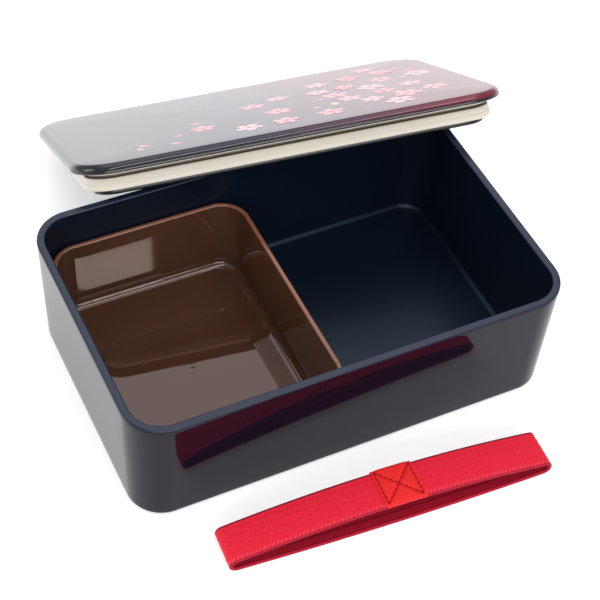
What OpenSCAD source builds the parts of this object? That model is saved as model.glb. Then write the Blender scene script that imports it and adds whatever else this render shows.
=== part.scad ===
// One-tier bento lunch box: lacquer-look box, loose brown inner tray, lid with a
// silicone gasket leaning on the box's rear wall, and a sewn elastic belt in front.
// Millimetres, +Z up, origin at the centre of the box's base, +X along its long side.

/* [Box] */
// Length of the box over its rim
box_length = 180; // [160:1:200]
// Width of the box over its rim
box_width = 115.4; // [110:0.2:125]
// Height of the box from its base to the rim
box_height = 53.5; // [48:0.5:60]
// Outside corner radius at the rim
box_corner = 15.6; // [14.5:0.1:18]
// Width of the flat rim
rim_width = 3.2; // [2.6:0.1:3.6]
// How far the outside wall leans in on each side, rim to base
box_draft = 1.5; // [0.5:0.1:2]
// Radius of the outside edge around the base
foot_radius = 2; // [1:0.5:3]
// Thickness of the floor
floor_thickness = 3; // [2:0.5:4]
// How far the inside wall leans in on each side, rim to floor
cavity_draft = 1.6; // [0.5:0.1:2]
// Radius between the floor and the inside walls
cavity_fillet = 2.2; // [1:0.2:3]
// Radius on both edges of the rim
rim_radius = 0.7; // [0.3:0.1:1]

/* [Inner tray] */
// Length of the tray along the box
tray_length = 83.4; // [70:0.2:85]
// Width of the tray across the box
tray_width = 106.8; // [100:0.2:107]
// Height of the tray
tray_height = 35; // [24:1:36]
// Outside corner radius of the tray at its rim
tray_corner = 12; // [11:0.5:14]
// Thickness of the tray's wall at the rim
tray_rim = 2; // [1.6:0.1:2.4]
// Thickness of the tray's floor
tray_floor = 1.8; // [1.4:0.1:2.4]
// How far the tray's outside wall leans in on each side
tray_draft = 1.2; // [0.8:0.1:2]
// Radius of the tray's outside edge around its floor
tray_foot = 3; // [2.5:0.5:4]
// Radius between the tray's floor and its inside walls
tray_fillet = 3.4; // [2.5:0.1:4]
// Gap left under the tray
tray_clearance = 0.1; // [0.05:0.05:0.3]
// Position of the tray's left side from the box's centre
tray_left = -85; // [-85.2:0.1:-84.6]

/* [Lid] */
// How far the lid's plate stands out beyond the box's rim on each side
lid_overhang = 1.4; // [0.6:0.1:1.6]
// Thickness of the lid's plate at its edge
plate_thickness = 4.5; // [4:0.1:5]
// Radius of the plate's upper edge
plate_round = 3; // [2:0.2:3.4]
// Depth of the plug ring under the plate
plug_depth = 10; // [9:0.2:10]
// Inset of the plug ring's lip from the plate's edge
plug_inset = 7.8; // [7.6:0.1:8.4]
// Height of the lip that holds the gasket up
lip_height = 2; // [1.6:0.1:2.4]
// Depth of the gasket's seat in the plug ring
seat_depth = 1.5; // [1:0.1:2]
// Wall of the plug ring behind the gasket
ring_wall = 2; // [1.6:0.1:2.4]
// Height of the hollow inside the plug ring above the plate's underside
pocket_rise = 1.6; // [0.8:0.2:2]

/* [Lid pose, leaning on the rear wall] */
// Centre of the plate's underside
lid_centre = [28.9, 95.2, 36.9];
// Tilt of the leaning lid, front edge up
lid_tilt = -32.7; // [-32.9:0.1:-32.5]
// Sideways lean of the lid
lid_lean = -0.5; // [-0.6:0.1:-0.4]
// Turn of the lid about the vertical
lid_turn = -7.1; // [-7.3:0.1:-6.9]

/* [Gasket] */
// Inset of the gasket's sealing lip from the plate's edge
gasket_inset = 4.4; // [4.4:0.1:5]
// Height of the thin upper lip
upper_lip = 1.4; // [1:0.1:1.6]
// Height of the groove between the two lips
groove_height = 1.2; // [0.8:0.1:1.4]
// Depth of the groove behind the upper lip
groove_depth = 1.6; // [1:0.1:2]
// Height of the gasket
gasket_height = 7.7; // [7:0.1:7.9]
// Gap between the gasket and its seat
gasket_gap = 0.05; // [0.02:0.01:0.1]

/* [Belt] */
// Length of the flattened elastic loop
belt_length = 133; // [120:0.2:150]
// Width of the webbing
belt_width = 16.5; // [15:0.5:25]
// Height of the loop's arched upper run at its middle
belt_height = 12.8; // [8:0.2:16]
// Height of the folds at the loop's two ends
fold_height = 6.4; // [5:0.2:8]
// Thickness of the webbing
webbing = 1.4; // [1:0.1:1.8]
// Centre of the belt on the table
belt_centre = [0.1, -84.7, 0];
// Turn of the belt about the vertical
belt_turn = -3.4; // [-6:0.2:6]
// Size of the tab sewn over the join: length, width, thickness
tab_size = [16.8, 17.3, 1];
// Position of the tab along the belt from its centre
tab_offset = 3.2; // [-10:0.2:10]
// Width of a line of stitches
stitch_width = 0.8; // [0.5:0.1:1]
// Height of a line of stitches
stitch_height = 0.4; // [0.3:0.1:0.6]
// Distance of the stitches from the tab's edge
stitch_margin = 1.2; // [0.8:0.1:2]

/* [Hidden] */
// Facets around a full corner
round_facets = 96;
// Steps in a small edge radius
edge_steps = 5;
// Cut that runs clear of a face
over = 1;
half_length = box_length / 2;
half_width = box_width / 2;
tray_half_length = tray_length / 2;
tray_half_width = tray_width / 2;
lid_half_length = half_length + lid_overhang;
lid_half_width = half_width + lid_overhang;
lid_corner = box_corner + lid_overhang;
seat_inset = plug_inset + seat_depth;
ring_inset = seat_inset + ring_wall;
fold_radius = fold_height / 2;
fold_reach = belt_length / 2 - fold_radius;
fold_slope = atan(2 * (belt_height - fold_height) / fold_reach);
arch_reach = fold_reach + fold_radius * sin(fold_slope);
arch_bow = tan(fold_slope) / (2 * arch_reach);
arch_low = fold_radius * (1 + cos(fold_slope));
arch_steps = 48;
lid_black = [0.09, 0.03, 0.07];
box_navy = [0.05, 0.06, 0.09];
tray_brown = [0.30, 0.16, 0.11, 0.75];
gasket_cream = [0.91, 0.88, 0.79];
belt_red = [0.86, 0.12, 0.22];
tab_red = [0.93, 0.17, 0.18];
thread_red = [0.62, 0.05, 0.10];

// Points of an arc, from angle a0 to a1
function arc(cx, cz, r, a0, a1) =
    [for (i = [0 : edge_steps])
        let (a = a0 + (a1 - a0) * i / edge_steps) [cx + r * cos(a), cz + r * sin(a)]];

// A polygon mirrored about the vertical axis from one side's [inset, height] points
module mirrored(half, outline) {
    right = [for (p = outline) [half - p[0], p[1]]];
    left = [for (i = [len(outline) - 1 : -1 : 0]) [outline[i][0] - half, outline[i][1]]];
    polygon(concat(right, left));
}

// A rounded rectangular block whose side follows the outline, a list of
// [inset from the widest edge, height] from bottom to top
module rounded_slab(half_l, half_w, r, outline) {
    last = outline[len(outline) - 1];
    run_l = half_l - r;
    run_w = half_w - r;
    for (sx = [-1, 1], sy = [-1, 1])
        translate([sx * run_l, sy * run_w, 0])
            rotate_extrude($fn = round_facets)
                polygon(concat([[0, outline[0][1]]],
                               [for (p = outline) [r - p[0], p[1]]],
                               [[0, last[1]]]));
    rotate([90, 0, 0])
        linear_extrude(2 * run_w, center = true) mirrored(half_l, outline);
    rotate([90, 0, 90])
        linear_extrude(2 * run_l, center = true) mirrored(half_w, outline);
}

// A drafted open tub: outside shell less a filleted cavity
module tub(half_l, half_w, r, height, wall, draft_out, foot, base, draft_in, fillet, edge) {
    difference() {
        rounded_slab(half_l, half_w, r,
            concat(arc(draft_out + foot, foot, foot, 270, 180),
                   arc(edge, height - edge, edge, 180, 90)));
        rounded_slab(half_l, half_w, r,
            concat(arc(wall + draft_in + fillet, base + fillet, fillet, 270, 180),
                   arc(wall - edge, height - edge, edge, 0, 90),
                   [[wall - edge, height + over]]));
    }
}

module box_body() {
    color(box_navy)
        tub(half_length, half_width, box_corner, box_height, rim_width, box_draft,
            foot_radius, floor_thickness, cavity_draft, cavity_fillet, rim_radius);
}

module inner_tray() {
    color(tray_brown)
        translate([tray_left + tray_half_length, 0, floor_thickness + tray_clearance])
            tub(tray_half_length, tray_half_width, tray_corner, tray_height, tray_rim,
                tray_draft, tray_foot, tray_floor, tray_draft, tray_fillet, rim_radius);
}

// Places a lid piece from the lid's own frame, plate underside at zero, into the pose
module leaning() {
    translate(lid_centre)
        rotate([0, 0, lid_turn]) rotate([0, lid_lean, 0]) rotate([lid_tilt, 0, 0])
            children();
}

module lid_cover() {
    color(lid_black)
        leaning()
            difference() {
                union() {
                    rounded_slab(lid_half_length, lid_half_width, lid_corner,
                        concat([[rim_radius, 0], [0, rim_radius]],
                               arc(plate_round, plate_thickness - plate_round,
                                   plate_round, 180, 90)));
                    rounded_slab(lid_half_length, lid_half_width, lid_corner,
                        [[plug_inset + rim_radius, -plug_depth],
                         [plug_inset, rim_radius - plug_depth],
                         [plug_inset, lip_height - plug_depth],
                         [seat_inset, lip_height - plug_depth],
                         [seat_inset, rim_radius]]);
                }
                rounded_slab(lid_half_length, lid_half_width, lid_corner,
                    concat([[ring_inset, -plug_depth - over]],
                           arc(ring_inset + rim_radius, pocket_rise - rim_radius,
                               rim_radius, 180, 90)));
            }
}

module lid_gasket() {
    lower = -gasket_height;
    lip_top = -upper_lip - groove_height;
    color(gasket_cream)
        leaning()
            difference() {
                rounded_slab(lid_half_length, lid_half_width, lid_corner,
                    [[gasket_inset + webbing, lower],
                     [gasket_inset, lower + rim_radius],
                     [gasket_inset + rim_radius, lip_top],
                     [gasket_inset + groove_depth + rim_radius, lip_top],
                     [gasket_inset + groove_depth + rim_radius, -upper_lip],
                     [gasket_inset + rim_radius, -upper_lip],
                     [gasket_inset + rim_radius, -gasket_gap]]);
                rounded_slab(lid_half_length, lid_half_width, lid_corner,
                    [[seat_inset - gasket_gap, lower - over], [seat_inset - gasket_gap, over]]);
            }
}

// Places a belt piece from the belt's own frame onto the table
module lying() {
    translate(belt_centre) rotate([0, 0, belt_turn]) children();
}

// A point of the loop's arched upper run, inset from its outside by a distance
function arch_point(u, inset) =
    let (slope = atan(2 * arch_bow * u))
        [u - inset * sin(slope),
         arch_low + arch_bow * (arch_reach * arch_reach - u * u) - inset * cos(slope)];

// Points along the arch from one distance to another
function arch_run(first, last, steps, inset) =
    [for (i = [0 : steps]) arch_point(first + (last - first) * i / steps, inset)];

// Points of the fold at one end, side 1 or -1, inset by a distance
function fold(side, inset) =
    [for (i = [0 : round_facets / 4])
        let (turn = (180 - fold_slope) * (side > 0 ? i : round_facets / 4 - i) / (round_facets / 4),
             r = fold_radius - inset)
            [side * (fold_reach + r * sin(turn)), fold_radius - r * cos(turn)]];

// The side view of a flattened loop, inset by a distance
module loop_outline(inset) {
    polygon(concat(fold(1, inset),
                   arch_run(arch_reach, -arch_reach, arch_steps, inset),
                   fold(-1, inset)));
}

// The side view of a layer that lies on the arch under the tab's length
module tab_layer(low, high) {
    first = tab_offset - tab_size[0] / 2;
    last = tab_offset + tab_size[0] / 2;
    polygon(concat(arch_run(first, last, 12, -low), arch_run(last, first, 12, -high)));
}

module belt_webbing() {
    color(belt_red)
        lying()
            rotate([90, 0, 0])
                linear_extrude(belt_width, center = true)
                    difference() {
                        loop_outline(0);
                        loop_outline(webbing);
                    }
}

module belt_join_tab() {
    color(tab_red)
        lying()
            rotate([90, 0, 0])
                linear_extrude(tab_size[1], center = true) tab_layer(0, tab_size[2]);
}

module belt_stitching() {
    reach = tab_size[0] / 2 - stitch_margin;
    side = tab_size[1] / 2 - stitch_margin;
    diagonal = 2 * sqrt(reach * reach + side * side);
    color(thread_red)
        lying()
            intersection() {
                rotate([90, 0, 0])
                    linear_extrude(tab_size[1], center = true)
                        tab_layer(tab_size[2], tab_size[2] + stitch_height);
                translate([tab_offset, 0, 0])
                    linear_extrude(2 * belt_height) {
                        for (s = [-1, 1]) {
                            rotate(s * atan2(side, reach))
                                square([diagonal, stitch_width], center = true);
                            translate([s * reach, 0])
                                square([stitch_width, 2 * side], center = true);
                        }
                    }
            }
}

box_body();
inner_tray();
lid_cover();
lid_gasket();
belt_webbing();
belt_join_tab();
belt_stitching();
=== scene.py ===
# %% [markdown]
# # A bento lunch box, one surface at a time
# The set has four loose things: the box, the small tray inside it, the printed lid leaning behind
# it, and the red elastic belt lying in front. Each one is drawn here as a numpy surface: a
# cross-section carried round an outline. Moulded parts are drawn in the workshop that way too,
# so one short function makes the box, the tray, the lid and its gasket.

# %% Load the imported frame
import math
import bpy
import numpy as np
from mathutils import Matrix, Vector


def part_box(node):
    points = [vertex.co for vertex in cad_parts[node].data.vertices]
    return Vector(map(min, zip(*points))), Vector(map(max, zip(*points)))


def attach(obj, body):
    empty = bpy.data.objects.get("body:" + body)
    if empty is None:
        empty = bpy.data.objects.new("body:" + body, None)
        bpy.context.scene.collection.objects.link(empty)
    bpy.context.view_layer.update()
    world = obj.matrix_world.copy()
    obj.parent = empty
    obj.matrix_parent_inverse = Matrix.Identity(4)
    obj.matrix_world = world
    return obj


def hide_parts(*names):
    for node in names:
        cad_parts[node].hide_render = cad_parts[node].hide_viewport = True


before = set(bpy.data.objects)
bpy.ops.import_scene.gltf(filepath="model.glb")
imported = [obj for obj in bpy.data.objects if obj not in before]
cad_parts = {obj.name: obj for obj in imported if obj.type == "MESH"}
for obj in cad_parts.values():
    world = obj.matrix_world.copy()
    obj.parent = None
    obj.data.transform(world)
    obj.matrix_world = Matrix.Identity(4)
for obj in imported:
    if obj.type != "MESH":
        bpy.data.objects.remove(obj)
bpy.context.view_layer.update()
MM = 0.001
print("nodes:", sorted(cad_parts))

# %% [markdown]
# ## Surfaces from arrays
# A surface is a grid of points: rows follow the cross-section, columns go round the outline. The
# faces between the points are the same for every grid, so one function knits them. A closed end is
# a single point in the middle, joined to the first or last row by triangles. The same function
# writes a UV map in real metres, so that a weave has its true size everywhere.

# %% Knit a grid of points into a mesh
def build(name, points, faces, body):
    """A smooth piece from points in millimetres and faces, riding on a body."""
    mesh = bpy.data.meshes.new(name)
    mesh.from_pydata((np.asarray(points) * MM).tolist(), [], faces)
    mesh.polygons.foreach_set("use_smooth", np.ones(len(mesh.polygons), bool))
    piece = bpy.data.objects.new(name, mesh)
    bpy.context.scene.collection.objects.link(piece)
    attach(piece, body)
    return piece


def store(piece, attribute, points):
    """Keeps each point's place in the piece's own frame, in metres, for its finish to read."""
    layer = piece.data.attributes.new(attribute, "FLOAT_VECTOR", "POINT")
    layer.data.foreach_set("vector", (points * MM).ravel().astype(np.float32))


def knit(name, grid, body, wrap_rows=False, start=None, end=None):
    """Faces join neighbouring points of grid[row, column]; columns always close round. Rows close
    too with wrap_rows. start and end are single points that close the first and last row."""
    rows, columns = grid.shape[:2]
    points = grid.reshape(-1, 3)
    row = np.arange(rows if wrap_rows else rows - 1)
    column = np.arange(columns)
    r, c = np.meshgrid(row, column, indexing="ij")
    r2, c2 = (r + 1) % rows, (c + 1) % columns
    quads = np.stack([r * columns + c, r * columns + c2, r2 * columns + c2, r2 * columns + c], -1)
    quads = quads.reshape(-1, 4)
    faces = quads.tolist()
    extra = []
    for point, ring, flip in ((start, 0, False), (end, rows - 1, True)):
        if point is None:
            continue
        middle = len(points) + len(extra)
        extra.append(point)
        a, b = ring * columns + column, ring * columns + (column + 1) % columns
        fan = np.stack([np.full(columns, middle), a, b] if flip
                       else [np.full(columns, middle), b, a], -1)
        faces += fan.tolist()
    if extra:
        points = np.vstack([points, np.array(extra, float).reshape(-1, 3)])
    piece = build(name, points, faces, body)
    # UV in metres: u is the length round, v the length along the cross-section
    around = np.linalg.norm(np.roll(grid, -1, 1) - grid, axis=2).max(0)
    along = np.linalg.norm(np.roll(grid, -1, 0) - grid, axis=2).mean(1)
    u = np.concatenate([[0], np.cumsum(around)]) * MM
    v = np.concatenate([[0], np.cumsum(along)]) * MM
    corner = np.stack([np.stack([u[c], v[r]], -1), np.stack([u[c + 1], v[r]], -1),
                       np.stack([u[c + 1], v[r + 1]], -1), np.stack([u[c], v[r + 1]], -1)], 2)
    uv = np.zeros((len(piece.data.loops), 2))
    uv[:quads.size] = corner.reshape(-1, 2)
    layer = piece.data.uv_layers.new(name="cloth")
    layer.data.foreach_set("uv", uv.ravel().astype(np.float32))
    piece.data.validate()
    print(f"{name}: {len(points)} points, {len(faces)} faces")
    return piece


# %% [markdown]
# ## A cross-section carried round a rounded rectangle
# The box, tray, lid and gasket are all rounded rectangles seen from above. The outline gives a
# point and a direction that faces out; a step of the cross-section moves inwards by its inset
# and up to its height. Past the corner radius the outline can't shrink evenly any more, so the flat
# middle is filled by rings that shrink towards the centre instead.

# %% The outline and the sweep
def outline(half_length, half_width, radius, corner_steps=20, side_steps=14):
    """Points round a rounded rectangle and the directions that face out of it. Each corner is a
    quarter circle about its own centre, and each side is divided evenly."""
    points, facing = [], []
    for sx, sy, first in ((1, 1, 0), (-1, 1, 90), (-1, -1, 180), (1, -1, 270)):
        angle = np.radians(first + np.linspace(0, 90, corner_steps + 1))
        out = np.stack([np.cos(angle), np.sin(angle)], -1)
        middle = np.array([sx * (half_length - radius), sy * (half_width - radius)])
        points.append(middle + radius * out)
        facing.append(out)
    whole_p, whole_n = [], []
    for k in range(4):
        whole_p.append(points[k])
        whole_n.append(facing[k])
        share = (np.arange(1, side_steps) / side_steps)[:, None]
        whole_p.append(points[k][-1] * (1 - share) + points[(k + 1) % 4][0] * share)
        whole_n.append(np.repeat(facing[k][-1:], side_steps - 1, 0))
    return np.vstack(whole_p), np.vstack(whole_n)


def arc(centre_inset, centre_height, radius, first, last, steps=8):
    """Cross-section points of a round edge, angles in degrees, 180 facing out."""
    a = np.radians(np.linspace(first, last, steps + 1))
    return np.stack([centre_inset + radius * np.cos(a), centre_height + radius * np.sin(a)], -1)


def straight(first, last, steps=8):
    """Cross-section points evenly along a straight wall."""
    return np.linspace(first, last, steps)


def rows(*parts):
    """Stacks cross-section parts, each a point or a list of points, into one list."""
    return np.vstack([np.atleast_2d(np.array(p, float)) for p in parts])


def sweep(shape, section):
    """Every cross-section point (inset, height) at every outline point: outline minus inset
    times the outward direction, lifted to the height."""
    points, facing = shape
    xy = points[None] - section[:, 0][:, None, None] * facing[None]
    z = np.broadcast_to(section[:, 1][:, None, None], xy.shape[:2] + (1,))
    return np.concatenate([xy, z], 2)


def shrink(ring, shares, heights):
    """Copies of a ring scaled towards the centre by each share, at one height or each its own."""
    xy = ring[None, :, :2] * shares[:, None, None]
    z = np.broadcast_to(heights, shares.shape)[:, None, None]
    return np.concatenate([xy, np.broadcast_to(z, xy.shape[:2] + (1,))], 2)


FLAT = np.linspace(0.97, 0.06, 14)

# %% [markdown]
# ## The box
# One injection moulding. The walls lean in towards the base so that it leaves its mould, the
# foot and the rim have small radii, and a fillet joins the floor to the walls. The base has a
# shallow recess, so that the box stands on a ring and doesn't rock. The surface starts in the
# middle of the underside, climbs the outside, turns over the rim and runs down to the middle of
# the floor.

# %% Sizes of the box, and its surface
_, box_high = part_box("box_body")
HALF_L, HALF_W = box_high.x / MM, box_high.y / MM
BOX_TOP = box_high.z / MM
# in mm: corner radius, rim width, how far the wall leans in, foot radius and floor thickness;
# then the inner wall's lean, the floor's fillet, the rim's edge radius and the hollow below
CORNER, RIM, DRAFT, FOOT, FLOOR = 15.6, 3.2, 1.5, 2.0, 3.0
IN_DRAFT, FILLET, EDGE, RECESS = 1.6, 2.2, 0.7, 0.5
box_shape = outline(HALF_L, HALF_W, CORNER)
outside = rows([DRAFT + 6.5, RECESS], [DRAFT + 6.0, RECESS], [DRAFT + 5.5, 0.05],
               [DRAFT + 5.0, 0], [DRAFT + FOOT + 0.4, 0], arc(DRAFT + FOOT, FOOT, FOOT, 270, 180),
               [DRAFT * 0.94, 5], [DRAFT * 0.55, 25], [DRAFT * 0.05, BOX_TOP - 3],
               arc(EDGE, BOX_TOP - EDGE, EDGE, 180, 90, 6))
rim_top = rows([RIM * 0.4, BOX_TOP], [RIM * 0.6, BOX_TOP])
inside = rows(arc(RIM - EDGE, BOX_TOP - EDGE, EDGE, 90, 0, 6), [RIM + 0.05, BOX_TOP - 3],
              [RIM + IN_DRAFT * 0.5, 28], [RIM + IN_DRAFT * 0.95, FLOOR + FILLET + 1],
              arc(RIM + IN_DRAFT + FILLET, FLOOR + FILLET, FILLET, 180, 270),
              [RIM + IN_DRAFT + FILLET + 0.5, FLOOR])
wall = sweep(box_shape, rows(outside, rim_top, inside))
box_grid = np.concatenate([shrink(wall[0], FLAT[::-1], RECESS), wall,
                           shrink(wall[-1], FLAT, FLOOR)])
box = knit("lunch_box", box_grid, "box", start=(0, 0, RECESS), end=(0, 0, FLOOR))
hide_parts("box_body")

# %% [markdown]
# ## The inner tray
# A thin, see-through brown moulding that stands loose in the left half. It is the same kind of
# surface with thinner walls, and in the middle of its floor is the small round mark that the
# plastic left where it entered the mould.

# %% Sizes of the tray, and its surface
tray_low, tray_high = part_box("inner_tray")
TRAY_L, TRAY_W = (tray_high.x - tray_low.x) / 2 / MM, tray_high.y / MM
TRAY_X = (tray_high.x + tray_low.x) / 2 / MM
bottom, top = tray_low.z / MM, tray_high.z / MM
TRAY_R, TRAY_RIM, TRAY_DRAFT, TRAY_FOOT, TRAY_FLOOR, TRAY_FILLET = 12.0, 2.0, 1.2, 3.0, 1.8, 3.4
floor_level = bottom + TRAY_FLOOR
tray_shape = outline(TRAY_L, TRAY_W, TRAY_R, side_steps=12)
tray_section = rows(
    [TRAY_DRAFT + TRAY_FOOT + 0.4, bottom],
    arc(TRAY_DRAFT + TRAY_FOOT, bottom + TRAY_FOOT, TRAY_FOOT, 270, 180),
    [TRAY_DRAFT * 0.5, (bottom + top) / 2], [0.02, top - 3.2], [0.0, top - 3.0],
    arc(EDGE, top - EDGE, EDGE, 180, 90, 6), [TRAY_RIM * 0.5, top],
    arc(TRAY_RIM - EDGE, top - EDGE, EDGE, 90, 0, 6),
    [TRAY_RIM, top - 1.6], [TRAY_RIM + 0.12, top - 2.2],
    straight([TRAY_RIM + 0.2, top - 3.0],
             [TRAY_RIM + TRAY_DRAFT, floor_level + TRAY_FILLET + 0.6]),
    arc(TRAY_RIM + TRAY_DRAFT + TRAY_FILLET, floor_level + TRAY_FILLET, TRAY_FILLET, 180, 270),
    [TRAY_RIM + TRAY_DRAFT + TRAY_FILLET + 0.5, floor_level])
tray_wall = sweep(tray_shape, tray_section)
# the gate mark: four round rings, radius and height over the floor, and a middle point
turn = np.arctan2(tray_shape[0][:, 1], tray_shape[0][:, 0])
gate = np.stack([np.stack([r * np.cos(turn), r * np.sin(turn), np.full(turn.size, z)], -1)
                 for r, z in ((2.8, floor_level), (2.2, floor_level + 0.003),
                              (1.6, floor_level + 0.016), (0.9, floor_level + 0.022))])
GATE_TOP = floor_level + 0.023
tray_grid = np.concatenate([shrink(tray_wall[0], FLAT[::-1], bottom), tray_wall,
                            shrink(tray_wall[-1], np.linspace(0.97, 0.13, 14), floor_level), gate])
tray_grid[..., 0] += TRAY_X
tray = knit("inner_tray_shell", tray_grid, "tray", start=(TRAY_X, 0, bottom),
            end=(TRAY_X, 0, GATE_TOP))
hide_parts("inner_tray")

# %% [markdown]
# ## The lid
# The lid leans on the box's rear wall, so it is drawn flat in its own frame first and then turned
# into place: tilted front edge up, leaned a little sideways, and turned about the vertical. Its top
# is slightly crowned, so that lacquer flows to the edge and water runs off. Under the plate a ring
# plugs the mouth of the box, and a step in the ring holds the gasket.

# %% The leaning frame
# the CAD lid's pose: plate centre in mm, then tilt, sideways lean and turn in degrees
LID_CENTRE = np.array([28.9, 95.2, 36.9])
LID_TILT, LID_LEAN, LID_TURN = (math.radians(a) for a in (-32.7, -0.5, -7.1))


def turned(axis, angle):
    """The 3 x 3 rotation about axis 0, 1 or 2."""
    c, s = math.cos(angle), math.sin(angle)
    i, j = (axis + 1) % 3, (axis + 2) % 3
    m = np.eye(3)
    m[i, i], m[i, j], m[j, i], m[j, j] = c, -s, s, c
    return m


LID_FRAME = turned(2, LID_TURN) @ turned(1, LID_LEAN) @ turned(0, LID_TILT)


def lean(points):
    """Lid points, plate underside at zero, carried into the leaning pose."""
    return np.asarray(points, float) @ LID_FRAME.T + LID_CENTRE


def unlean(points):
    """The reverse: leaning points brought back into the lid's own frame."""
    return (points - LID_CENTRE) @ LID_FRAME


# %% The lid's surface
# in mm: the plate's overhang, thickness, edge radius and crown; then the plug ring's depth, its
# lip, the seat cut for the gasket, its wall, the hollow's height in the plate, the ring's inset
OVERHANG, PLATE, ROUND, CROWN = 1.4, 4.5, 3.0, 0.7
PLUG, LIP, SEAT, RING_WALL, POCKET, PLUG_INSET = 10.0, 2.0, 1.5, 2.0, 1.6, 7.8
LID_L, LID_W, LID_R = HALF_L + OVERHANG, HALF_W + OVERHANG, CORNER + OVERHANG
SEAT_INSET = PLUG_INSET + SEAT
RING_INSET = SEAT_INSET + RING_WALL
FALL, FALL_INSET = CROWN * 0.62, 14.0   # how far the crown has fallen, and at which inset
lid_shape = outline(LID_L, LID_W, LID_R)
edge_top = PLATE - CROWN
lid_section = rows(
    [FALL_INSET, PLATE - FALL], [9.0, PLATE - CROWN * 0.76], [5.0, PLATE - CROWN * 0.9],
    arc(ROUND, edge_top - ROUND, ROUND, 90, 180, 12), [0.0, 0.5], [0.12, 0.25], [0.7, 0.02],
    [1.2, 0.0], [5.0, 0.0],
    [SEAT_INSET - 0.3, 0.0], [SEAT_INSET, -0.2], [SEAT_INSET, LIP - PLUG + 0.2],
    [SEAT_INSET - 0.2, LIP - PLUG], [PLUG_INSET + 0.3, LIP - PLUG],
    arc(PLUG_INSET + 0.35, LIP - PLUG - 0.35, 0.35, 90, 180, 3),
    arc(PLUG_INSET + EDGE, EDGE - PLUG, EDGE, 180, 270, 4),
    arc(RING_INSET - EDGE, EDGE - PLUG, EDGE, 270, 360, 4),
    [RING_INSET, -4], arc(RING_INSET + EDGE, POCKET - EDGE, EDGE, 180, 90, 4),
    [RING_INSET + 1.5, POCKET])
lid_wall = sweep(lid_shape, lid_section)
domed = np.linspace(0.06, 0.97, 16)
lid_grid = np.concatenate([shrink(lid_wall[0], domed, PLATE - FALL * domed ** 2), lid_wall,
                           shrink(lid_wall[-1], FLAT, POCKET)])[:, ::-1]
lid = knit("lid_shell", lean(lid_grid), "lid", start=lean((0, 0, PLATE)),
           end=lean((0, 0, POCKET)))
store(lid, "lid_place",
      np.concatenate([lid_grid.reshape(-1, 3), [[0, 0, PLATE], [0, 0, POCKET]]]))
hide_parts("lid_cover")

# %% [markdown]
# ## The gasket
# A moulded silicone ring. Its thin upper lip lies against the plate, a groove makes it springy, and
# the wide lower lip flares out to seal against the inside of the box. The section is one closed
# loop, so both directions of the grid close round.

# %% The gasket's surface
# inset and height below the plate, from the ring over the upper lip, the groove and the wide lip
gasket_loop = rows(
    [SEAT_INSET - 0.05, -0.06], [6.6, -0.06], [5.0, -0.08], [4.62, -0.25], [4.48, -0.6],
    [4.52, -1.0], [4.8, -1.3], [6.2, -1.4], [7.2, -1.46], [7.42, -1.64], [7.42, -2.45],
    [7.2, -2.66], [6.2, -2.7], [5.5, -2.74], [5.26, -2.95], [5.18, -3.3], [5.04, -4.4],
    [4.96, -4.75], [5.14, -4.9], [5.12, -5.1], [4.86, -5.25], [4.68, -6.4], [4.48, -7.1],
    [4.44, -7.35], [4.6, -7.6], [5.1, -7.68], [7.0, -7.68], [SEAT_INSET - 0.4, -7.68],
    [SEAT_INSET - 0.05, -7.4])
gasket = knit("gasket_ring", lean(sweep(lid_shape, gasket_loop)[::-1]), "lid", wrap_rows=True)
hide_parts("lid_gasket")

# %% [markdown]
# ## Blossoms printed on the lid
# Five-petal flowers and loose petals drift across the plate, few at the left and many at the far
# right. Real ones are printed in pale ink under the lacquer. A petal is a small polar
# grid: rings from its middle to an outline that has a notch at the tip. Each flower lies a few
# hundredths of a millimetre over the crowned plate, higher than the one before, so where two
# overlap one is plainly on top.

# %% Where the flowers fall
rng = np.random.default_rng(23)


def plate_height(x, y):
    """Height of the crowned plate: it falls with the square of the share of the way out, and
    evenly over the last 11 mm."""
    half_l, half_w = LID_L - FALL_INSET, LID_W - FALL_INSET
    share = np.maximum(np.abs(x) / half_l, np.abs(y) / half_w)
    past = np.maximum(np.abs(x) - half_l, np.abs(y) - half_w)
    return PLATE - FALL * np.minimum(share, 1) ** 2 - (CROWN - FALL) * np.clip(past / 11, 0, 1)


PETAL_RINGS, PETAL_STEPS = np.array([0.45, 0.8, 1.0]), 14


def petals(middles, sizes, turns, wide):
    """Points of many petals at once: polar grids about each middle, long axis turned, tip
    notched. Returns an array of petal, ring, step and xy."""
    step = np.linspace(0, 2 * np.pi, PETAL_STEPS + 1)[:-1]
    tip = np.angle(np.exp(1j * step))
    long = 1 - 0.24 * np.exp(-(tip / 0.3) ** 2) + 0.10 * np.exp(-((np.abs(tip) - np.pi) / 0.5) ** 2)
    ring = PETAL_RINGS[:, None]
    px = ring * long * np.cos(step)
    py = ring * long * np.sin(step) * (0.82 + 0.18 * np.cos(step))
    c, s = np.cos(turns)[:, None, None], np.sin(turns)[:, None, None]
    a, b = px[None] * sizes[:, None, None], py[None] * (sizes * wide)[:, None, None]
    return np.stack([a * c - b * s, a * s + b * c], -1) + middles[:, None, None]


# a flower is x, y, size, turn and blush; one that falls too near another is thrown again
flowers = []
while len(flowers) < 24:
    x = -50 + 130 * rng.random() ** 0.5
    drift = (x + 60) / 140
    y = -44 + 86 * rng.random() * min(1.0, 0.12 + drift)
    size = 4.8 + 1.0 * drift + 1.2 * rng.random()
    gap = 11.0 if x > 15 else 14.0
    if all(math.hypot(x - f[0], y - f[1]) > gap for f in flowers):
        flowers.append((x, y, size, rng.random() * 6.28, rng.random()))
flowers = np.array(flowers)
loose = np.array([(-76 + 156 * rng.random(), 0.0, 1.9 + 1.0 * rng.random(),
                   rng.random() * 6.28, rng.random()) for _ in range(16)])
loose[:, 1] = -46 + 88 * rng.random(16) * np.clip(0.2 + (loose[:, 0] + 60) / 140, 0, 1)
print(len(flowers), "flowers and", len(loose), "loose petals")

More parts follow.
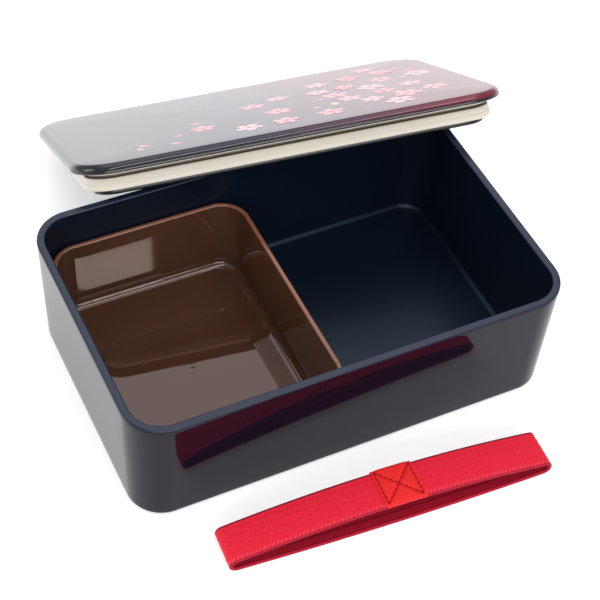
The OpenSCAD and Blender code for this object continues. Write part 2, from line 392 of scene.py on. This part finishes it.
# %% Ink for the petals and the hearts of the flowers
def ink(name, grids, tints, lifts):
    """One mesh of many small polar grids. Each grid's middle is its average, and each point is
    lifted off the crowned plate; tints gives each point's colour from petal heart to edge."""
    count, ring_count, steps = grids.shape[:3]
    middle = grids[:, 0].mean(1)
    per = ring_count * steps + 1
    xy = np.concatenate([middle[:, None], grids.reshape(count, -1, 2)], 1)
    z = plate_height(xy[..., 0], xy[..., 1]) + lifts[:, None]
    points = np.concatenate([xy, z[..., None]], 2).reshape(-1, 3)
    step = np.arange(steps)
    nxt = (step + 1) % steps
    fan = np.stack([np.zeros(steps, int), 1 + step, 1 + nxt], -1)
    bands = [np.stack([1 + k * steps + step, 1 + (k + 1) * steps + step,
                       1 + (k + 1) * steps + nxt, 1 + k * steps + nxt], -1)
             for k in range(ring_count - 1)]
    start = np.arange(count)[:, None, None] * per
    faces = (start + fan[None]).reshape(-1, 3).tolist()
    faces += (start + np.vstack(bands)[None]).reshape(-1, 4).tolist()
    piece = build(name, lean(points), faces, "lid")
    colour = piece.data.color_attributes.new("ink", "FLOAT_COLOR", "POINT")
    rgba = np.concatenate([tints.reshape(-1, 3), np.ones((count * per, 1))], 1)
    colour.data.foreach_set("color", rgba.ravel().astype(np.float32))
    print(f"{name}: {count} shapes, {len(faces)} faces")
    return piece


PALE, ROSE, DEEP = (np.array(c) for c in
                    ((0.93, 0.70, 0.70), (0.88, 0.24, 0.29), (0.62, 0.05, 0.10)))
five = np.arange(5) * 2 * np.pi / 5
turns = (flowers[:, 3:4] + five).ravel()
size = np.repeat(flowers[:, 2], 5)
centre = np.repeat(flowers[:, :2], 5, 0)
arm = np.stack([np.cos(turns), np.sin(turns)], -1)
petal_grids = petals(centre + arm * (size * 0.56)[:, None], size * 0.46, turns, 0.86)
petal_grids = np.concatenate([petal_grids, petals(loose[:, :2], loose[:, 2], loose[:, 3], 0.7)])
blush = np.concatenate([np.repeat(flowers[:, 4], 5), loose[:, 4]])
edge_share = np.concatenate([[0.0], np.repeat(PETAL_RINGS, PETAL_STEPS)])
base = PALE + (ROSE - PALE) * (0.25 + 0.75 * blush)[:, None]
tints = base[:, None] + (PALE - base)[:, None] * (0.5 * (1 - edge_share) ** 2)[None, :, None]
order = np.concatenate([np.repeat(np.arange(len(flowers)), 5), np.full(len(loose), 0)])
LIFT, LAYER = 0.03, 0.0016   # mm over the plate, and each flower's own step above the last
blossoms = ink("blossom_print", petal_grids, tints, LIFT + LAYER * order)
spoke = (flowers[:, 3:4] + np.pi / 5 + np.arange(10) * np.pi / 5).ravel()
heart_size = np.repeat(flowers[:, 2] * 0.13, 10)
heart_arm = np.stack([np.cos(spoke), np.sin(spoke)], -1)
hearts = petals(np.repeat(flowers[:, :2], 10, 0) + heart_arm * (heart_size * 1.15)[:, None],
                heart_size, spoke, 0.22)
heart_tints = np.broadcast_to(DEEP, (len(hearts), len(edge_share), 3))
hearts_ink = ink("blossom_hearts", hearts, heart_tints,
                 LIFT + 0.004 + LAYER * np.repeat(np.arange(len(flowers)), 10))

# %% [markdown]
# ## The elastic belt
# A strip of ribbed elastic, sewn end to end into a loop. Its lower run lies flat on the table, its
# springy folds hold the ends a little open, and its upper run arches between them. The surface has
# two directions that both close: along the loop, and round the strip's own section, a thin
# rectangle with rounded edges and shallow lengthwise ribs.

# %% The line of the loop
# the CAD belt's sizes in mm, its middle on the table and its turn; the bend is how far its ends
# lie behind its middle
BELT_L, BELT_W, BELT_H, FOLD_H, WEB = 133.0, 16.5, 12.8, 6.4, 1.4
BELT_AT, BELT_TURN = np.array([0.1, -84.7]), math.radians(-3.4)
BELT_BEND = 1.1
FOLD_R = FOLD_H / 2
FOLD_REACH = BELT_L / 2 - FOLD_R
FOLD_SLOPE = math.atan(2 * (BELT_H - FOLD_H) / FOLD_REACH)
ARCH_REACH = FOLD_REACH + FOLD_R * math.sin(FOLD_SLOPE)
ARCH_BOW = math.tan(FOLD_SLOPE) / (2 * ARCH_REACH)
ARCH_LOW = FOLD_R * (1 + math.cos(FOLD_SLOPE))


def arch_height(u):
    """Outside height of the upper run: a parabola that leaves each fold at the fold's own slope."""
    return ARCH_LOW + ARCH_BOW * (ARCH_REACH ** 2 - u ** 2)


def onto_table(points):
    """Belt points, u along, v across, z up, bent a little sideways and turned onto the table."""
    p = np.asarray(points, float).copy()
    p[..., 1] += BELT_BEND * ((p[..., 0] / (BELT_L / 2)) ** 2 - 0.35)
    c, s = math.cos(BELT_TURN), math.sin(BELT_TURN)
    x = p[..., 0] * c - p[..., 1] * s + BELT_AT[0]
    y = p[..., 0] * s + p[..., 1] * c + BELT_AT[1]
    return np.stack([x, y, p[..., 2]], -1)


def loop_line(count=300):
    """Middle line of the webbing, half a thickness inside the outline: arch, fold, flat run and
    fold, divided evenly by length. Returns its points and its outward directions."""
    inset, r = WEB / 2, FOLD_R - WEB / 2
    u = np.linspace(ARCH_REACH, -ARCH_REACH, 400)
    slope = np.arctan(2 * ARCH_BOW * u)
    arch = np.stack([u - inset * np.sin(slope), arch_height(u) - inset * np.cos(slope)], -1)
    turn = np.linspace(0, np.pi - FOLD_SLOPE, 60)
    fold = np.stack([FOLD_REACH + r * np.sin(turn), FOLD_R - r * np.cos(turn)], -1)
    path = np.vstack([arch, (fold * (-1, 1))[::-1][1:], fold[:-1]])
    step = np.linalg.norm(np.roll(path, -1, 0) - path, axis=1)
    far = np.concatenate([[0], np.cumsum(step)])
    closed = np.vstack([path, path[:1]])
    even = np.arange(count) / count * far[-1]
    line = np.stack([np.interp(even, far, closed[:, 0]), np.interp(even, far, closed[:, 1])], -1)
    tangent = np.roll(line, -1, 0) - np.roll(line, 1, 0)
    tangent /= np.linalg.norm(tangent, axis=1)[:, None]
    return line, np.stack([tangent[:, 1], -tangent[:, 0]], -1)


# %% The belt's surface
line, outward = loop_line()
half = BELT_W / 2 - WEB / 2
across = np.linspace(-half, half, 37)
rib = 0.5 + 0.5 * np.cos(2 * np.pi * across / 3.1)
bend = np.radians(np.linspace(-90, 90, 7)[1:-1])
side, level = half + WEB / 2 * np.cos(bend), WEB / 2 * np.sin(bend)
v = np.concatenate([across, side, across[::-1], -side])
thick = np.concatenate([WEB / 2 - 0.08 * rib, -level, -WEB / 2 + 0.22 * rib[::-1], level])
belt_grid = np.zeros((line.shape[0], v.size, 3))
belt_grid[..., 0] = line[:, :1] + outward[:, :1] * thick
belt_grid[..., 2] = line[:, 1:] + outward[:, 1:] * thick
belt_grid[..., 1] = v
belt_grid[..., 2] -= belt_grid[..., 2].min()
belt = knit("belt_band", onto_table(belt_grid), "belt", wrap_rows=True)
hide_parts("belt_webbing")

# %% [markdown]
# ## The tab and its stitches
# A woven tab is sewn over the join. Its surface is two square grids that meet at the edge, and
# the top one sinks along the lines of stitches, as cloth does under a tight thread. Each stitch
# is a short tube that rises and dives again, and there are enough of them to fill the cross and
# the two side lines.

# %% The tab
TAB_L, TAB_W, TAB_T, TAB_AT, MARGIN = 16.8, 17.3, 1.0, 3.2, 1.2
REACH, SIDE = TAB_L / 2 - MARGIN, TAB_W / 2 - MARGIN


def near_seam(x, y):
    """How deep in a seam a point lies: one on the cross and the side lines, fading over 1 mm."""
    length = math.hypot(REACH, SIDE)
    cross = [np.abs(x * SIDE - s * y * REACH) / length for s in (-1, 1)]
    sides = [np.abs(x - s * REACH) for s in (-1, 1)]
    return np.exp(-(np.minimum.reduce(cross + sides) / 0.8) ** 2)


def slab(name, half_u, half_v, top, under, count):
    """Two grids over the same square, top and underside, that share their border points."""
    a = np.linspace(-1, 1, count)
    a = np.sign(a) * (1 - (1 - np.abs(a)) ** 1.6)
    gu, gv = np.meshgrid(a * half_u, a * half_v, indexing="ij")
    up = np.stack([gu, gv, top(gu, gv)], -1).reshape(-1, 3)
    down = np.stack([gu, gv, under(gu, gv)], -1).reshape(-1, 3)
    index = np.arange(count * count).reshape(count, count)
    rim = np.zeros((count, count), bool)
    rim[[0, -1]] = rim[:, [0, -1]] = True
    below = np.where(rim, index, -1)
    below[~rim] = count * count + np.arange((~rim).sum())
    faces = [np.stack([ids[:-1, :-1], ids[1:, :-1], ids[1:, 1:], ids[:-1, 1:]], -1).reshape(-1, 4)
             for ids in (index, below)]
    flat = np.vstack([up, down[~rim.ravel()]])
    piece = build(name, onto_table(flat + (TAB_AT, 0, 0)),
                  np.vstack([faces[0], faces[1][:, ::-1]]).tolist(), "belt")
    store(piece, "weave_place", flat)
    print(f"{name}: {len(flat)} points")
    return piece


def tab_under(u, v):
    """The belt's arch under the tab."""
    return arch_height(u + TAB_AT) + 0.02


def tab_top(u, v):
    """Full thickness in the middle, thinning quickly at the hem, sunk along the seams."""
    hem = 1 - np.maximum(np.abs(u / (TAB_L / 2)), np.abs(v / (TAB_W / 2))) ** 14
    cloth = 0.13 + (TAB_T - 0.15) * np.sqrt(np.maximum(hem, 0))
    return tab_under(u, v) + cloth - 0.36 * near_seam(u, v)


tab = slab("join_tab", TAB_L / 2, TAB_W / 2, tab_top, tab_under, 61)

# %% The stitches
def stitches(name, starts, ends, radius=0.32, spacing=2.1):
    """Tubes that follow short arches along each seam line: each stitch covers most of its
    share of the line, highest in its middle, and its ends dive into the tab."""
    tubes = []
    for a, b in zip(starts, ends):
        a, b = np.array(a, float), np.array(b, float)
        length = np.linalg.norm(b - a)
        count = max(2, round(length / spacing))
        way = (b - a) / length
        side = np.array([-way[1], way[0]])
        for k in range(count):
            t = np.linspace(0.02, 0.98, 9)
            along = (k + t) * length / count
            rise = np.sin(np.pi * (t - 0.02) / 0.96)
            thin = radius * (0.55 + 0.45 * rise)
            turn = np.linspace(0, 2 * np.pi, 9)[:-1]
            mid = a + way * along[:, None]
            level = tab_top(mid[:, 0], mid[:, 1]) - 0.12 + 0.34 * rise
            ring = mid[:, None] + side * (np.cos(turn)[None, :, None] * thin[:, None, None])
            height = level[:, None] + np.sin(turn) * thin[:, None]
            tubes.append(np.concatenate([ring, height[..., None]], 2))
    tubes = np.array(tubes)
    n, long, steps = tubes.shape[:3]
    per = long * steps + 2
    tips = tubes[:, [0, -1]].mean(2)
    points = np.concatenate([tubes.reshape(n, -1, 3), tips], 1).reshape(-1, 3)
    points[:, 0] += TAB_AT
    i, j = np.meshgrid(np.arange(long - 1), np.arange(steps), indexing="ij")
    j2 = (j + 1) % steps
    quads = np.stack([i * steps + j, i * steps + j2, (i + 1) * steps + j2,
                      (i + 1) * steps + j], -1).reshape(-1, 4)
    k = np.arange(steps)
    k2, last = (k + 1) % steps, (long - 1) * steps
    caps = np.vstack([np.stack([np.full(steps, per - 2), k2, k], -1),
                      np.stack([np.full(steps, per - 1), last + k, last + k2], -1)])
    offset = np.arange(n)[:, None, None] * per
    faces = (offset + quads).reshape(-1, 4).tolist() + (offset + caps).reshape(-1, 3).tolist()
    piece = build(name, onto_table(points), faces, "belt")
    print(f"{name}: {n} stitches")
    return piece


seams_a = [(-REACH, -SIDE), (-REACH, SIDE), (-REACH, -SIDE), (REACH, -SIDE)]
seams_b = [(REACH, SIDE), (REACH, -SIDE), (-REACH, SIDE), (REACH, SIDE)]
thread = stitches("tab_stitches", seams_a, seams_b)
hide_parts("belt_join_tab")
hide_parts("belt_stitching")

# %% [markdown]
# ## Shader maths in plain Python
# A finish is a formula. The class below wraps a node's output so that a formula can be written
# as one: `0.2 + 0.1 * noise` adds its Math nodes by itself. Every other node comes from one method
# that takes its kind, its settings and the values of its sockets.

# %% Wires and finishes
class Wire:
    """A value on its way between two shader nodes. Adding, subtracting or multiplying wires and
    numbers adds the Math node that does it."""

    def __init__(self, finish, socket):
        self.finish, self.socket = finish, socket

    def maths(self, operation, a, b=0.0):
        return self.finish.add("ShaderNodeMath", {"operation": operation}, {0: a, 1: b})

    def __add__(self, other):
        return self.maths("ADD", self, other)

    def __mul__(self, other):
        return self.maths("MULTIPLY", self, other)

    def __sub__(self, other):
        return self.maths("SUBTRACT", self, other)

    def __rsub__(self, other):
        return self.maths("SUBTRACT", other, self)

    __radd__, __rmul__ = __add__, __mul__


class Finish:
    """A material under construction."""

    def __init__(self, name):
        self.material = bpy.data.materials.new(name)
        self.material.use_nodes = True
        self.tree = self.material.node_tree
        self.tree.nodes.clear()

    def add(self, kind, settings=None, values=None, out=0):
        """A node of that kind. Settings go first, then its sockets get numbers or wires."""
        node = self.tree.nodes.new(kind)
        for key, value in (settings or {}).items():
            if key == "stops":
                ramp = node.color_ramp.elements
                while len(ramp) < len(value):
                    ramp.new(0.5)
                for stop, (place, colour) in zip(ramp, value):
                    stop.position, stop.color = place, colour
            else:
                setattr(node, key, value)
        for key, value in (values or {}).items():
            if isinstance(value, Wire):
                self.tree.links.new(value.socket, node.inputs[key])
            else:
                node.inputs[key].default_value = value
        return Wire(self, node.outputs[out])

    def place(self, scale=(1, 1, 1)):
        """Object coordinates in metres, stretched by scale."""
        where = self.add("ShaderNodeTexCoord", out="Object")
        return self.add("ShaderNodeMapping", {"vector_type": "POINT"}, {0: where, "Scale": scale})

    def wave(self, turns):
        """A smooth wave from 0 to 1 that repeats once in every turn."""
        angle = turns * (2 * math.pi)
        return angle.maths("SINE", angle) * 0.5 + 0.5

    def axis(self, where, index):
        """The x, y or z of a place."""
        return self.add("ShaderNodeSeparateXYZ", {}, {0: where}, out=index)

    def stored(self, name, out="Vector"):
        """What a piece keeps under that name at each of its points."""
        return self.add("ShaderNodeAttribute", {"attribute_name": name}, out=out)

    def noise(self, where, scale, detail=3.0):
        return self.add("ShaderNodeTexNoise", {},
                        {"Vector": where, "Scale": scale, "Detail": detail})

    def mix(self, share, a, b):
        """A colour between a and b."""
        return self.add("ShaderNodeMix", {"data_type": "RGBA"}, {0: share, 6: a, 7: b}, out=2)

    def stretch(self, value, low, high):
        """0 where the value is low and 1 where it is high; low may be the larger number."""
        return self.add("ShaderNodeMapRange", {}, {0: value, 1: low, 2: high, 3: 0.0, 4: 1.0})

    def bump(self, height, strength, distance):
        return self.add("ShaderNodeBump", {}, {"Strength": strength, "Distance": distance,
                                               "Height": height})

    def shade(self, **sockets):
        """The Principled shader and the output. Socket names have _ for a space."""
        values = {key.replace("_", " "): value for key, value in sockets.items()}
        shader = self.add("ShaderNodeBsdfPrincipled", {}, values)
        output = self.tree.nodes.new("ShaderNodeOutputMaterial")
        self.tree.links.new(shader.socket, output.inputs["Surface"])
        return self.material


def rgb(red, green, blue):
    """An ordinary 0 to 255 colour as the linear numbers that shaders use."""
    c = np.array([red, green, blue]) / 255
    c = np.where(c <= 0.04045, c / 12.92, ((c + 0.055) / 1.055) ** 2.4)
    return (*(float(v) for v in c), 1.0)


# %% [markdown]
# ## Finishes of the box
# Outside, the box is sprayed with black lacquer: a mirror gloss with the faint unevenness that
# sprayed lacquer has, and hair-thin wiping marks. The rim and the inside are the bare dark
# navy plastic with a fine satin grain.

# %% Lacquer outside, satin plastic on the rim and inside
def lacquer():
    f = Finish("black_lacquer")
    where = f.place()
    flow = f.noise(where, 55.0, 2.0)
    wiped = f.noise(f.place((30, 4, 30)), 120.0, 4.0)
    rough = 0.035 + 0.05 * f.stretch(wiped, 0.5, 0.8)
    colour = f.mix(f.noise(where, 12.0), rgb(10, 11, 20), rgb(17, 17, 30))
    return f.shade(Base_Color=colour, Roughness=rough, Normal=f.bump(flow, 0.05, 0.0004),
                   Specular_IOR_Level=0.165)


def satin_plastic(name, dark, light, gloss, grain, shine=0.5, tint=(1, 1, 1, 1)):
    f = Finish(name)
    where = f.place()
    fine = f.noise(where, 1400.0, 2.0)
    cloud = f.noise(where, 18.0, 3.0)
    scuff = f.stretch(f.noise(f.place((1, 9, 9)), 160.0, 4.0), 0.58, 0.8)
    rough = gloss + 0.06 * cloud + 0.05 * scuff
    colour = f.mix(cloud, dark, light)
    return f.shade(Base_Color=colour, Roughness=rough, Normal=f.bump(fine, grain, 0.00006),
                   Specular_IOR_Level=shine, Specular_Tint=tint)


box_outside = lacquer()
box_rim = satin_plastic("navy_rim", rgb(22, 30, 52), rgb(28, 38, 62), 0.24, 0.10, 0.45)
box_inside = satin_plastic("navy_inside", rgb(10, 16, 28), rgb(15, 24, 40), 0.3, 0.14,
                           0.42, (0.55, 0.75, 1.0, 1))


def paint(piece, *parts):
    """Gives a piece its finishes. Each part is a finish and a test on the faces' centres in mm;
    a face takes the last finish whose test it passes."""
    mesh = piece.data
    centres = np.zeros(len(mesh.polygons) * 3, np.float32)
    mesh.polygons.foreach_get("center", centres)
    centres = centres.reshape(-1, 3) / MM
    chosen = np.zeros(len(mesh.polygons), np.int32)
    for index, (finish, test) in enumerate(parts):
        mesh.materials.append(finish)
        if test is not None:
            chosen[test(centres)] = index
    mesh.polygons.foreach_set("material_index", chosen)
    print(piece.name, "has the finishes", [finish.name for finish, _ in parts])


def inset_from(c, half_l, half_w, radius):
    """How far inside a rounded rectangle each centre lies, seen from above."""
    qx = np.maximum(np.abs(c[:, 0]) - (half_l - radius), 0)
    qy = np.maximum(np.abs(c[:, 1]) - (half_w - radius), 0)
    return radius - np.hypot(qx, qy)


def indoors(c):
    """Inside the box: past the rim, above the underside and below the rim's flat top."""
    inset = inset_from(c, HALF_L, HALF_W, CORNER)
    return (inset > RIM - 0.02) & (c[:, 2] > FLOOR - 0.5) & (c[:, 2] < RIM_FLAT)


RIM_FLAT = BOX_TOP - EDGE * 0.5
paint(box, (box_outside, None), (box_rim, lambda c: c[:, 2] > RIM_FLAT), (box_inside, indoors))

# %% [markdown]
# ## The tray's smoky plastic
# Clear plastic coloured brown. Most of the light that enters comes back dimmed from the
# dark box behind it, so the tray looks deep brown, with sharp bright reflections of the room.

# %% Smoky plastic
def smoky(name, dark, light):
    f = Finish(name)
    where = f.place()
    cloud = f.noise(where, 26.0, 3.0)
    scuff = f.stretch(f.noise(f.place((6, 1, 6)), 220.0, 4.0), 0.6, 0.85)
    colour = f.mix(cloud, dark, light)
    return f.shade(Base_Color=colour, Roughness=0.03 + 0.05 * scuff,
                   Normal=f.bump(f.noise(where, 60.0, 2.0), 0.02, 0.0004),
                   Coat_Weight=0.45, Coat_Roughness=0.02, Specular_IOR_Level=0.54,
                   Specular_Tint=(1.0, 0.8, 0.78, 1))


# the rim's top faces get a lighter brown finish: a painted highlight where light gathers on the
# edge
paint(tray, (smoky("smoky_plastic", rgb(72, 45, 32), rgb(88, 57, 40)), None),
      (smoky("smoky_edge_painted_highlight", rgb(120, 72, 52), rgb(140, 88, 64)),
       lambda c: c[:, 2] > tray_high.z / MM - EDGE * 0.6))

# %% [markdown]
# ## The lid's shaded lacquer and its ink
# The plate is sprayed from black at the left to burgundy at the right, with a fine pearl
# powder in the colour, and the blossoms are printed on it. The ink has the same gloss
# as the lacquer, because the clear coat goes over both.

# %% Shaded lacquer
def shaded_lacquer():
    f = Finish("shaded_lacquer")
    place = f.stored("lid_place")
    x, y, z = (f.axis(place, k) for k in range(3))
    drift = f.noise(place, 14.0, 2.0)
    share = f.stretch(x + 0.25 * y + 0.02 * drift, -0.09, 0.10)
    colour = f.add("ShaderNodeValToRGB", {"stops": [
        (0.0, rgb(6, 8, 16)), (0.3, rgb(18, 14, 40)), (0.55, rgb(62, 12, 50)),
        (0.8, rgb(116, 8, 42)), (1.0, rgb(118, 6, 32))]}, {0: share})
    # painted dark reflection: the lower half of the rounded edge is painted near black, standing in
    # for the dark surroundings it reflects
    colour = f.mix(f.stretch(z, 0.0021, 0.0013), colour, rgb(8, 8, 14))
    powder = f.stretch(f.noise(place, 2600.0, 1.0), 0.62, 0.75)
    glint = f.mix(powder * 0.18, colour, rgb(190, 150, 170))
    flow = f.noise(place, 45.0, 2.0)
    return f.shade(Base_Color=glint, Roughness=0.16 + 0.06 * f.noise(place, 90.0),
                   Normal=f.bump(flow, 0.05, 0.0004), Coat_Weight=0.37, Coat_Roughness=0.03)


def printed_ink():
    f = Finish("printed_ink")
    ink_colour = f.stored("ink", "Color")
    grain = f.noise(f.place(), 900.0, 3.0)
    tint = f.mix(0.25 * grain, ink_colour, rgb(214, 120, 140))
    return f.shade(Base_Color=tint, Roughness=0.3 + 0.1 * grain, Coat_Weight=0.6,
                   Coat_Roughness=0.03)


lid_black = satin_plastic("black_plug", rgb(14, 14, 17), rgb(20, 20, 24), 0.22, 0.10)
paint(lid, (shaded_lacquer(), None),
      (lid_black, lambda c: unlean(c)[:, 2] < -0.05))
paint(blossoms, (printed_ink(), None))
hearts_ink.data.materials.append(blossoms.data.materials[0])

# %% [markdown]
# ## Silicone, elastic and thread
# Silicone scatters light a little and has a soft sheen. The elastic is woven: fine slanting
# picks across lengthwise ribs. The thread has a twist.

# %% Silicone
def silicone(name, dark, light):
    f = Finish(name)
    where = f.place()
    cloud = f.noise(where, 40.0, 3.0)
    dust = f.stretch(f.noise(where, 900.0, 2.0), 0.66, 0.8)
    colour = f.mix(cloud, dark, light)
    return f.shade(Base_Color=f.mix(0.35 * dust, colour, rgb(196, 188, 168)),
                   Roughness=0.38 + 0.12 * cloud, Subsurface_Weight=0.15,
                   Subsurface_Radius=(0.002, 0.0015, 0.001), Subsurface_Scale=0.5,
                   Normal=f.bump(f.noise(where, 500.0, 2.0), 0.08, 0.0001))


def groove_shade_faces(c):
    """Faces in the groove, which take the painted shade: deeper than the lips and between them,
    measured in the lid's own frame.
    """
    flat = unlean(c)
    inset = inset_from(flat, LID_L, LID_W, LID_R)
    return (inset > 5.0) & (flat[:, 2] < -1.3) & (flat[:, 2] > -2.8)


# the groove faces get a darker silicone: painted shade where the lips overhang the groove
paint(gasket, (silicone("cream_silicone", rgb(230, 222, 204), rgb(239, 232, 216)), None),
      (silicone("silicone_groove_painted_shade", rgb(120, 110, 94), rgb(136, 126, 108)), groove_shade_faces))

# %% Woven elastic
def elastic():
    f = Finish("woven_elastic")
    uv = f.add("ShaderNodeUVMap", {"uv_map": "cloth"})
    u, v = f.axis(uv, 0), f.axis(uv, 1)   # metres across from the near edge, and along
    pick_pitch, pick_slant, warp_pitch = 0.0011, 0.0034, 0.0013   # metres for one repeat
    pick = f.wave(v * (1 / pick_pitch) + u * (1 / pick_slant))
    warp = f.wave(u * (1 / warp_pitch))
    fuzz = f.noise(f.place(), 1100.0, 3.0)
    speck = f.stretch(f.noise(f.place(), 1900.0, 1.0), 0.35, 0.65)
    weave = pick * (0.6 + 0.4 * warp)
    colour = f.mix(weave, rgb(226, 12, 42), rgb(252, 30, 58))
    colour = f.mix(0.5 * speck, colour, rgb(248, 50, 76))
    # overcast thread along the near edge: short slanting dashes in the outer 1.6 mm
    dash_pitch, dash_slant = 0.0017, 0.0020
    slant = f.stretch(f.wave(v * (1 / dash_pitch) + u * (1 / dash_slant)), 0.4, 0.8)
    hem = f.stretch(u, 0.0016, 0.0011)
    colour = f.mix(0.7 * (hem * slant), colour, rgb(252, 84, 104))
    # painted shade: the far edge is painted darker, as if in its own shade, and past it the inner
    # face is darker, with painted shade in the channels between its ribs
    far_edge_shade = f.stretch(u, 0.0146, 0.0150) * f.stretch(u, 0.0166, 0.0162)
    colour = f.mix(0.75 * far_edge_shade, colour, rgb(96, 6, 26))
    inner = f.stretch(u, 0.0168, 0.0172)
    channel_pitch = 0.00155
    rib_channel_shade = f.stretch(f.wave(u * (1 / channel_pitch)), 0.5, 0.1)
    colour = f.mix(0.8 * inner, colour, rgb(168, 8, 46))
    # painted shade in the channels between the ribs of the inner face
    colour = f.mix(0.55 * (inner * rib_channel_shade), colour, rgb(96, 2, 28))
    height = weave + 0.5 * fuzz + 0.8 * (hem * slant)
    return f.shade(Base_Color=colour, Roughness=0.7 + 0.2 * fuzz, Sheen_Weight=0.06,
                   Sheen_Roughness=0.4, Specular_IOR_Level=0.3,
                   Normal=f.bump(height, 0.6, 0.00022))


paint(belt, (elastic(), None))

# %% Woven tab and thread
def tape():
    f = Finish("woven_tab")
    place = f.stored("weave_place")
    x, y = f.axis(place, 0), f.axis(place, 1)
    warp_pitch, pick_pitch = 0.0009, 0.0013   # metres for one repeat
    weave = f.wave(x * (1 / warp_pitch)) * 0.6 + f.wave(y * (1 / pick_pitch)) * 0.4
    fuzz = f.noise(f.place(), 1600.0, 3.0)
    colour = f.mix(weave, rgb(232, 22, 26), rgb(255, 50, 46))
    return f.shade(Base_Color=colour, Roughness=0.62 + 0.2 * fuzz, Sheen_Weight=0.06,
                   Sheen_Roughness=0.4, Specular_IOR_Level=0.3,
                   Normal=f.bump(weave + 0.4 * fuzz, 0.45, 0.00015))


def sewing_thread():
    f = Finish("sewing_thread")
    twist = f.noise(f.place((1, 1, 3)), 2400.0, 2.0)
    colour = f.mix(twist, rgb(160, 8, 30), rgb(190, 16, 38))
    return f.shade(Base_Color=colour, Roughness=0.6 + 0.2 * twist, Specular_IOR_Level=0.15,
                   Normal=f.bump(twist, 0.4, 0.0001))


paint(tab, (tape(), None))
paint(thread, (sewing_thread(), None))

# %% [markdown]
# ## Floor and light
# A plain white table under large soft lights: one overhead, one at the left, one low in front that
# reaches the gasket under the plate, and one high in front that keeps the table even. Gloss
# shows its shape only by what it reflects, and here that is mostly the white table. The last
# lamp is small, and is there for its reflection on the tray's rear wall.

# %% The table
floor_mesh = bpy.data.meshes.new("table")
reach = 9.0
floor_mesh.from_pydata([(-reach, -reach, 0), (reach, -reach, 0), (reach, reach, 0),
                        (-reach, reach, 0)], [], [(0, 1, 2, 3)])
table = bpy.data.objects.new("table", floor_mesh)
bpy.context.scene.collection.objects.link(table)
white = Finish("white_table")
floor_mesh.materials.append(white.shade(
    Base_Color=white.mix(white.noise(white.place(), 8.0), rgb(240, 240, 241), rgb(246, 246, 246)),
    Roughness=0.7, Specular_IOR_Level=0.2, Emission_Color=(1, 1, 1, 1), Emission_Strength=0.45))

# %% Lights
def frame_of(x, y, z, at):
    """The matrix of a thing at a place, from the directions of its three axes."""
    return Matrix([(x[i], y[i], z[i], at[i]) for i in range(3)] + [(0, 0, 0, 1)])


def softbox(name, at, aim, size, power, colour=(1, 1, 1)):
    """A rectangular light at a point, facing another point. Sizes in metres, power in watts."""
    light = bpy.data.lights.new(name, "AREA")
    light.shape, light.size, light.size_y = "RECTANGLE", size[0], size[1]
    light.energy, light.color = power, colour
    lamp = bpy.data.objects.new(name, light)
    away = np.array(at, float) - np.array(aim, float)
    away /= np.linalg.norm(away)
    side = np.cross((0, 0, 1), away)
    side /= np.linalg.norm(side)
    up = np.cross(away, side)
    lamp.matrix_world = frame_of(side, up, away, at)
    bpy.context.scene.collection.objects.link(lamp)
    print(f"{name}: {power} W")


softbox("overhead", (0.2, 0.7, 1.1), (0, 0.1, 0), (1.2, 0.9), 3.5)
softbox("left_window", (-0.9, 0.4, 0.55), (0, 0, 0.03), (0.5, 0.5), 1.8)
softbox("front_panel", (-0.2, -1.25, 0.7), (0, 0, 0.02), (1.6, 0.4), 8)
softbox("top_panel", (0.1, -0.35, 1.6), (0, -0.05, 0), (1.6, 0.3), 7)
softbox("small_window", (0.405, -1.359, 1.386), (0.405, 0, 1.386), (0.12, 0.085), 0.75,
        (1, 0.96, 0.88))
world = bpy.data.worlds.new("studio")
bpy.context.scene.world = world
world.use_nodes = True
sky = world.node_tree.nodes["Background"]
sky.inputs["Color"].default_value = (0.93, 0.95, 1.0, 1)
sky.inputs["Strength"].default_value = 0.55
bpy.context.scene.view_settings.view_transform = "Standard"

# %% [markdown]
# ## Where it is seen from
# A long lens from the front left, looking down at the set, keeps the box's sides nearly
# parallel. The camera's own axes are worked out from its three angles, because a camera looks
# along its negative z.

# %% The camera
# its place in metres, its angles in radians, and its focal length as a share of its width
CAMERA_AT = np.array([-0.20428, -0.37014, 0.50749])
YAW, PITCH, ROLL, FOCAL_SHARE = 0.50860, 0.84710, 0.08530, 2.68934
forward = np.array([math.sin(YAW) * math.cos(PITCH), math.cos(YAW) * math.cos(PITCH),
                    -math.sin(PITCH)])
level = np.cross(forward, (0, 0, 1))
level /= np.linalg.norm(level)
upward = np.cross(level, forward)
right = math.cos(ROLL) * level + math.sin(ROLL) * upward
above = -math.sin(ROLL) * level + math.cos(ROLL) * upward
lens = bpy.data.cameras.new("camera")
lens.sensor_width = 36.0
lens.lens = FOCAL_SHARE * lens.sensor_width
lens.clip_start, lens.clip_end = 0.01, 20.0
camera = bpy.data.objects.new("camera", lens)
camera.matrix_world = frame_of(right, above, -forward, CAMERA_AT)
bpy.context.scene.collection.objects.link(camera)
bpy.context.scene.camera = camera
print("lens:", round(lens.lens, 1), "mm")
